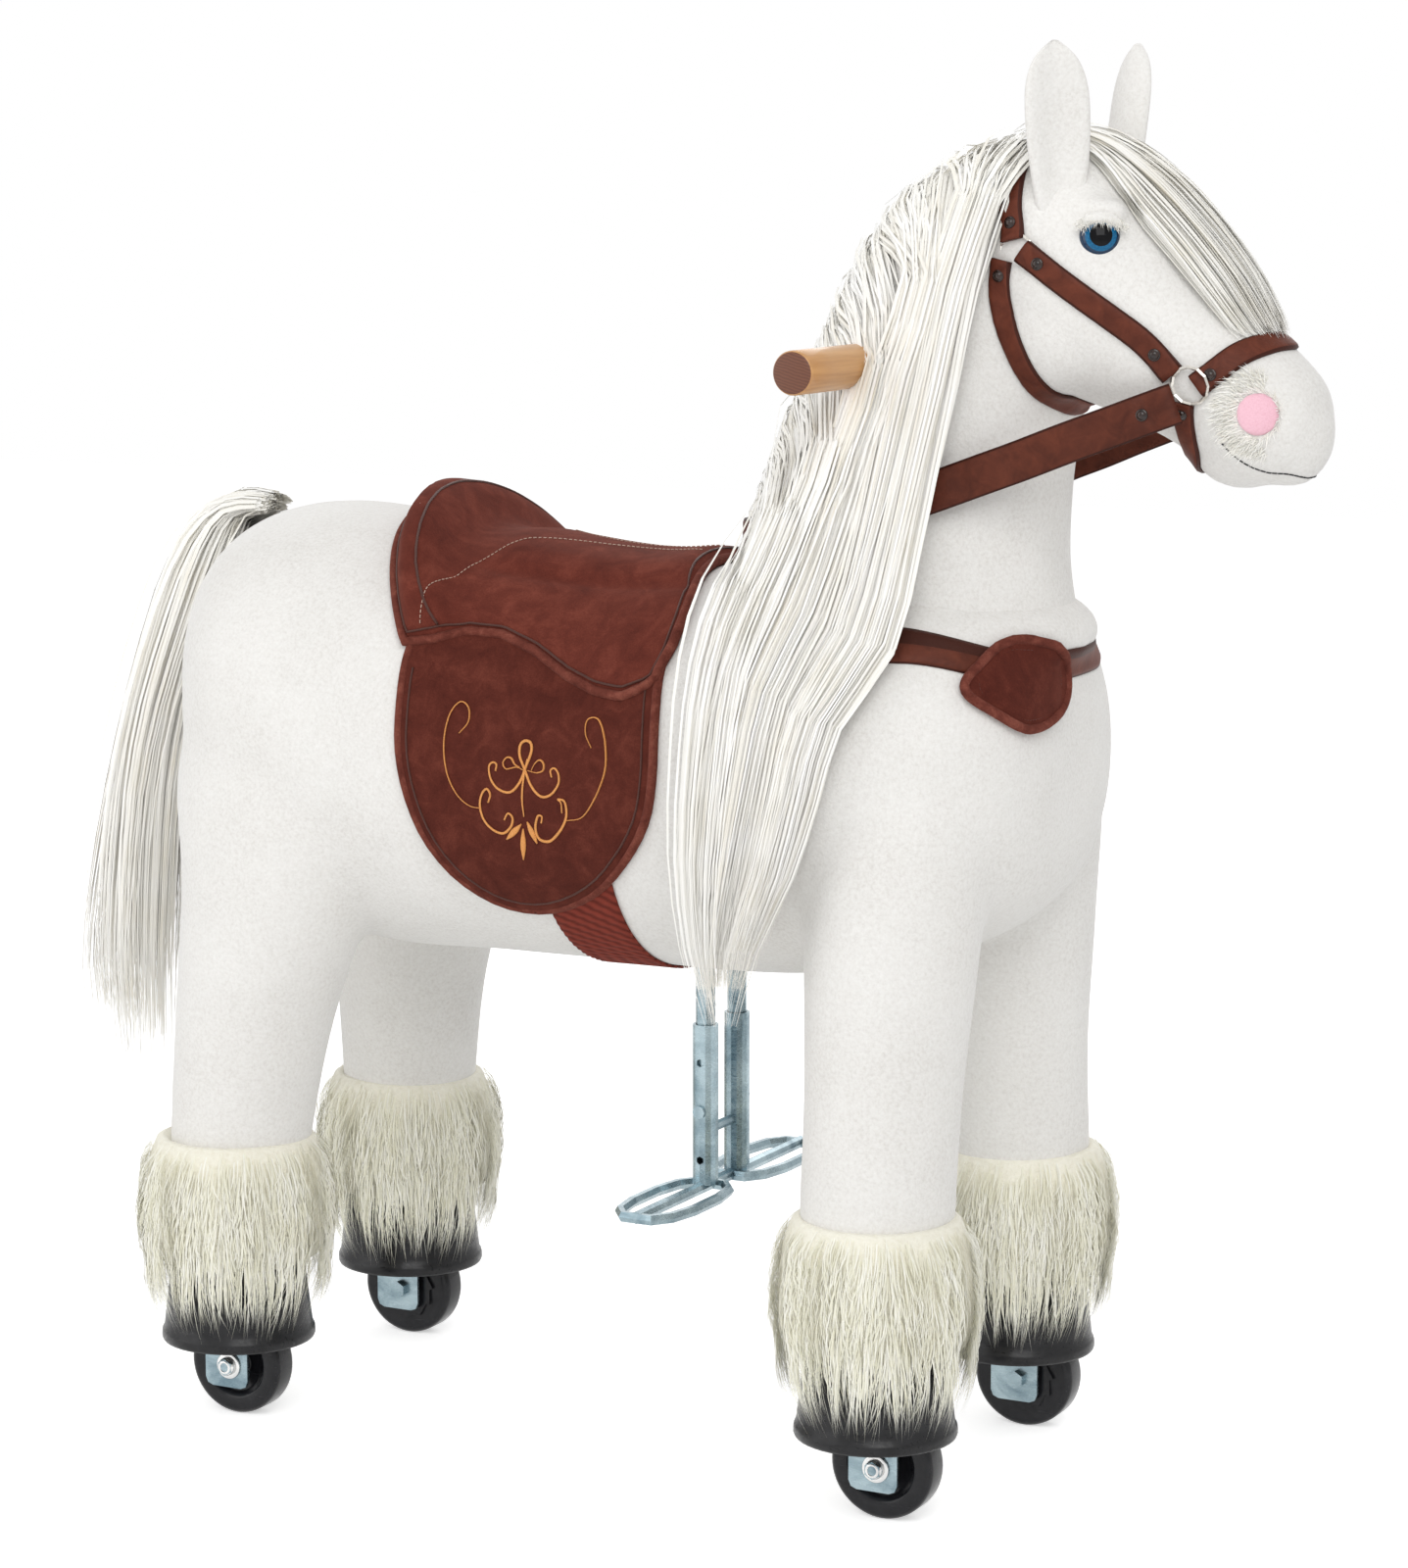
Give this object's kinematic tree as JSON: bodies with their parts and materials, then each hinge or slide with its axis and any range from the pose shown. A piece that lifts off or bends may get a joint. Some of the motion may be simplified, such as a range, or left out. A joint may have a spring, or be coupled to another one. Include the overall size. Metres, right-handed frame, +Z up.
{
  "type": "ride-on pony",
  "caption": "Ride-on plush pony on a steel frame: pushing the footrest down closes its swinging legs, and ratchet wheels turn that stride into forward rolling.",
  "frame": {"origin": "on the floor, under the middle of the part's length and width", "axes": "+X forward toward the nose, +Y the pony's left, +Z up"},
  "size_m": [0.997, 0.375, 0.9802],
  "materials": {
    "frame_steel": "dark semi-gloss paint",
    "plywood": "raw",
    "white_plush": "short plush pile",
    "saddle_suede": "brushed imitation suede",
    "girth_webbing": "ribbed webbing",
    "tail_hair": "long silky fibre",
    "mane_hair": "long silky fibre",
    "strap_brown": "matt imitation leather",
    "zinc_steel": "bright zinc plating",
    "beech": "clear satin varnish",
    "eye_blue": "high gloss",
    "ring_steel": "polished",
    "cream_fur": "long loose fur",
    "black_hide": "smooth imitation leather",
    "wheel_black": "semi-gloss"
  },
  "bodies": {
    "body": {"main_frame": "frame_steel", "seat_board": "plywood", "body_plush": "white_plush", "saddle_seat": "saddle_suede", "saddle_flap_left": "saddle_suede", "saddle_flap_right": "saddle_suede", "girth_strap": "girth_webbing", "tail": "tail_hair", "chest_strap": "strap_brown"},
    "head": {"steering_column": "zinc_steel", "handle": "beech", "neck_plush": "white_plush", "head_plush": "white_plush", "ear_left": "white_plush", "ear_right": "white_plush", "eye_left": "eye_blue", "eye_right": "eye_blue", "mane": "mane_hair", "forelock": "mane_hair", "crown_strap": "strap_brown", "throat_strap": "strap_brown", "noseband": "strap_brown", "chin_strap": "strap_brown", "cheek_strap_left": "strap_brown", "cheek_strap_right": "strap_brown", "ring_upper_left": "ring_steel", "ring_upper_right": "ring_steel", "ring_lower_left": "ring_steel", "ring_lower_right": "ring_steel", "rein": "strap_brown"},
    "rear_legs": {"rear_leg_frame": "frame_steel", "leg_plush_rear_left": "white_plush", "leg_plush_rear_right": "white_plush", "cuff_rear_left": "cream_fur", "cuff_rear_right": "cream_fur", "hoof_rear_left": "black_hide", "hoof_rear_right": "black_hide", "fork_rear_left": "zinc_steel", "fork_rear_right": "zinc_steel"},
    "front_legs": {"front_leg_frame": "frame_steel", "leg_plush_front_left": "white_plush", "leg_plush_front_right": "white_plush", "cuff_front_left": "cream_fur", "cuff_front_right": "cream_fur", "hoof_front_left": "black_hide", "hoof_front_right": "black_hide"},
    "pedals": {"pedal_carriage": "zinc_steel"},
    "footrest": {"footrest": "zinc_steel"},
    "rear_link": {"rear_link": "zinc_steel"},
    "front_link": {"front_link": "zinc_steel"},
    "castor_front_left": {"fork_front_left": "zinc_steel"},
    "wheel_front_left": {"wheel_front_left": "wheel_black"},
    "pawl_front_left": {"pawl_front_left": "zinc_steel"},
    "wheel_rear_left": {"wheel_rear_left": "wheel_black"},
    "pawl_rear_left": {"pawl_rear_left": "zinc_steel"},
    "castor_front_right": {"fork_front_right": "zinc_steel"},
    "wheel_front_right": {"wheel_front_right": "wheel_black"},
    "pawl_front_right": {"pawl_front_right": "zinc_steel"},
    "wheel_rear_right": {"wheel_rear_right": "wheel_black"},
    "pawl_rear_right": {"pawl_rear_right": "zinc_steel"}
  },
  "joints": [
    {"name": "rear_swing", "type": "hinge", "parent": "body", "child": "rear_legs", "pos_m": [-0.15, 0, 0.49], "axis": [0, 1, 0], "range_deg": [-10, 0]},
    {"name": "front_swing", "type": "hinge", "parent": "body", "child": "front_legs", "pos_m": [0.12, 0, 0.49], "axis": [0, 1, 0], "range_deg": [0, 10]},
    {"name": "pedal_slide", "type": "slide", "parent": "body", "child": "pedals", "axis": [0, 0, 1], "range_m": [-0.0215, 0]},
    {"name": "rear_link_turn", "type": "hinge", "parent": "pedals", "child": "rear_link", "pos_m": [-0.015, 0, 0.4], "axis": [0, 1, 0], "range_deg": [0, 9.72]},
    {"name": "front_link_turn", "type": "hinge", "parent": "pedals", "child": "front_link", "pos_m": [-0.015, 0, 0.4], "axis": [0, 1, 0], "range_deg": [-9.72, 0]},
    {"name": "footrest_height", "type": "slide", "parent": "pedals", "child": "footrest", "axis": [0, 0, 1], "range_m": [-0.035, 0.035]},
    {"name": "head_steer", "type": "hinge", "parent": "body", "child": "head", "pos_m": [0.2, 0, 0.6], "axis": [0, 0, 1], "range_deg": [-20, 20], "deforming": ["mane"]},
    {"name": "castor_steer_left", "type": "hinge", "parent": "front_legs", "child": "castor_front_left", "pos_m": [0.234, 0.119, 0.1], "axis": [0, 0, 1], "range_deg": [-20, 20]},
    {"name": "front_left_roll", "type": "hinge", "parent": "castor_front_left", "child": "wheel_front_left", "pos_m": [0.243, 0.119, 0.03753], "axis": [0, 1, 0], "continuous": true},
    {"name": "front_left_pawl_lift", "type": "hinge", "parent": "castor_front_left", "child": "pawl_front_left", "pos_m": [0.2374, 0.119, 0.06903], "axis": [0, 1, 0], "range_deg": [0, 15], "stiffness_Nm_per_rad": 0.02, "springref_deg": -17.19},
    {"name": "rear_left_roll", "type": "hinge", "parent": "rear_legs", "child": "wheel_rear_left", "pos_m": [-0.276, 0.119, 0.03753], "axis": [0, 1, 0], "continuous": true},
    {"name": "rear_left_pawl_lift", "type": "hinge", "parent": "rear_legs", "child": "pawl_rear_left", "pos_m": [-0.2816, 0.119, 0.06903], "axis": [0, 1, 0], "range_deg": [0, 15], "stiffness_Nm_per_rad": 0.02, "springref_deg": -17.19},
    {"name": "castor_steer_right", "type": "hinge", "parent": "front_legs", "child": "castor_front_right", "pos_m": [0.234, -0.119, 0.1], "axis": [0, 0, 1], "range_deg": [-20, 20]},
    {"name": "front_right_roll", "type": "hinge", "parent": "castor_front_right", "child": "wheel_front_right", "pos_m": [0.243, -0.119, 0.03753], "axis": [0, 1, 0], "continuous": true},
    {"name": "front_right_pawl_lift", "type": "hinge", "parent": "castor_front_right", "child": "pawl_front_right", "pos_m": [0.2374, -0.119, 0.06903], "axis": [0, 1, 0], "range_deg": [0, 15], "stiffness_Nm_per_rad": 0.02, "springref_deg": -17.19},
    {"name": "rear_right_roll", "type": "hinge", "parent": "rear_legs", "child": "wheel_rear_right", "pos_m": [-0.276, -0.119, 0.03753], "axis": [0, 1, 0], "continuous": true},
    {"name": "rear_right_pawl_lift", "type": "hinge", "parent": "rear_legs", "child": "pawl_rear_right", "pos_m": [-0.2816, -0.119, 0.06903], "axis": [0, 1, 0], "range_deg": [0, 15], "stiffness_Nm_per_rad": 0.02, "springref_deg": -17.19}
  ],
  "couplings": [
    {"joint": "front_swing", "follows": "rear_swing", "ratio": -1},
    {"joint": "pedal_slide", "follows": "rear_swing", "m_per_rad": 0.12285},
    {"joint": "rear_link_turn", "follows": "rear_swing", "ratio": -0.97118},
    {"joint": "front_link_turn", "follows": "rear_swing", "ratio": 0.97118},
    {"joint": "castor_steer_left", "follows": "head_steer", "ratio": 1},
    {"joint": "castor_steer_right", "follows": "head_steer", "ratio": 1}
  ]
}
